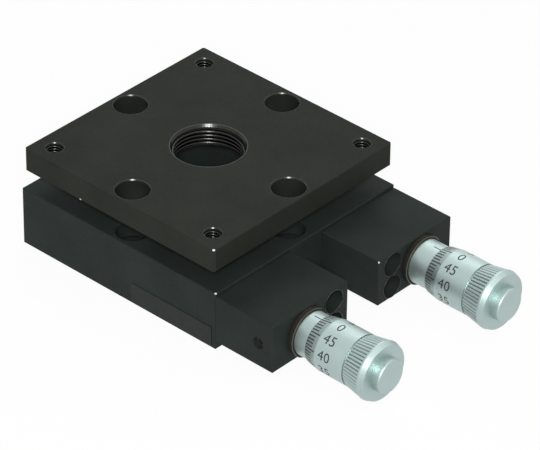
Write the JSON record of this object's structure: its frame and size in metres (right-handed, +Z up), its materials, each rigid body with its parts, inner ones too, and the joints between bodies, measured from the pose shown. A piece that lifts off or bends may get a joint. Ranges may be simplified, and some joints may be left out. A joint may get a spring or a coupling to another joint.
{
  "type": "tilt stage",
  "caption": "Two-axis tilt stage: a square table on balls over a low base, tilted by two micrometer heads through ramp slides.",
  "frame": {"origin": "centre of the base's underside, on the axis of the opening through the base and table", "axes": "+X from the base towards the micrometer heads, +Z up out of the table's top"},
  "size_m": [0.1061, 0.0605, 0.0267],
  "materials": {
    "base_black": "black anodised, satin",
    "table_black": "black anodised, satin",
    "collar_black": "black anodised, with a worn bright rim",
    "satin_chrome": "satin chrome plating",
    "screw_steel": "blackened",
    "ground_steel": "ground",
    "ball_steel": "polished",
    "bronze": "turned",
    "spring_steel": "drawn wire",
    "label_black": "matte"
  },
  "bodies": {
    "base": {"base_body": "base_black", "near_head_block": "base_black", "far_head_block": "base_black", "block_screws": "screw_steel", "block_dowels": "ground_steel", "clamp_screws": "screw_steel", "near_sleeve": "satin_chrome", "far_sleeve": "satin_chrome", "near_collar": "collar_black", "far_collar": "collar_black", "near_adjusting_nut": "bronze", "far_adjusting_nut": "bronze", "lower_pivot_seat": "ground_steel", "rod_bush": "bronze", "spring_pins": "ground_steel", "near_spring": "spring_steel", "rear_spring": "spring_steel", "blank_label": "label_black"},
    "near_drive": {"near_slide": "ground_steel", "near_push_rod": "ground_steel", "near_thrust_pad": "bronze"},
    "far_drive": {"far_slide": "ground_steel", "far_push_rod": "ground_steel", "far_thrust_pad": "bronze"},
    "near_micrometer": {"near_spindle": "ground_steel", "near_thimble": "satin_chrome", "near_grip": "satin_chrome", "near_end_cap": "satin_chrome"},
    "far_micrometer": {"far_spindle": "ground_steel", "far_thimble": "satin_chrome", "far_grip": "satin_chrome", "far_end_cap": "satin_chrome"},
    "pivot": {"pivot_ball": "ball_steel"},
    "tilt_table": {"table": "table_black", "upper_pivot_seat": "ground_steel", "near_ball_seat": "ground_steel", "far_ball_seat": "ground_steel", "near_ball": "ball_steel", "far_ball": "ball_steel", "spring_posts": "screw_steel"}
  },
  "joints": [
    {"name": "near_travel", "type": "slide", "parent": "base", "child": "near_drive", "axis": [1, 0, 0], "range_m": [-0.0005, 0.0035]},
    {"name": "near_turn", "type": "hinge", "parent": "near_drive", "child": "near_micrometer", "pos_m": [0.06, -0.0193, 0.0084], "axis": [1, 0, 0], "range_deg": [-362, 2522]},
    {"name": "far_travel", "type": "slide", "parent": "base", "child": "far_drive", "axis": [1, 0, 0], "range_m": [-0.0005, 0.0035]},
    {"name": "far_turn", "type": "hinge", "parent": "far_drive", "child": "far_micrometer", "pos_m": [0.06, 0.0193, 0.0084], "axis": [1, 0, 0], "range_deg": [-362, 2522]},
    {"name": "pitch", "type": "hinge", "parent": "base", "child": "pivot", "pos_m": [-0.016, -0.0193, 0.01805], "axis": [0, -1, 0], "range_deg": [-3.15, 0.46], "deforming": ["near_spring", "rear_spring"]},
    {"name": "roll", "type": "hinge", "parent": "pivot", "child": "tilt_table", "pos_m": [-0.016, -0.0193, 0.01805], "axis": [1, 0, 0], "range_deg": [-2.61, 0.38], "deforming": ["near_spring", "rear_spring"]}
  ],
  "couplings": [
    {"joint": "near_turn", "follows": "near_travel", "rad_per_m": 12566},
    {"joint": "pitch", "follows": "near_travel", "rad_per_m": -15.625},
    {"joint": "far_turn", "follows": "far_travel", "rad_per_m": 12566},
    {"joint": "roll", "follows": "far_travel", "rad_per_m": -12.953}
  ]
}
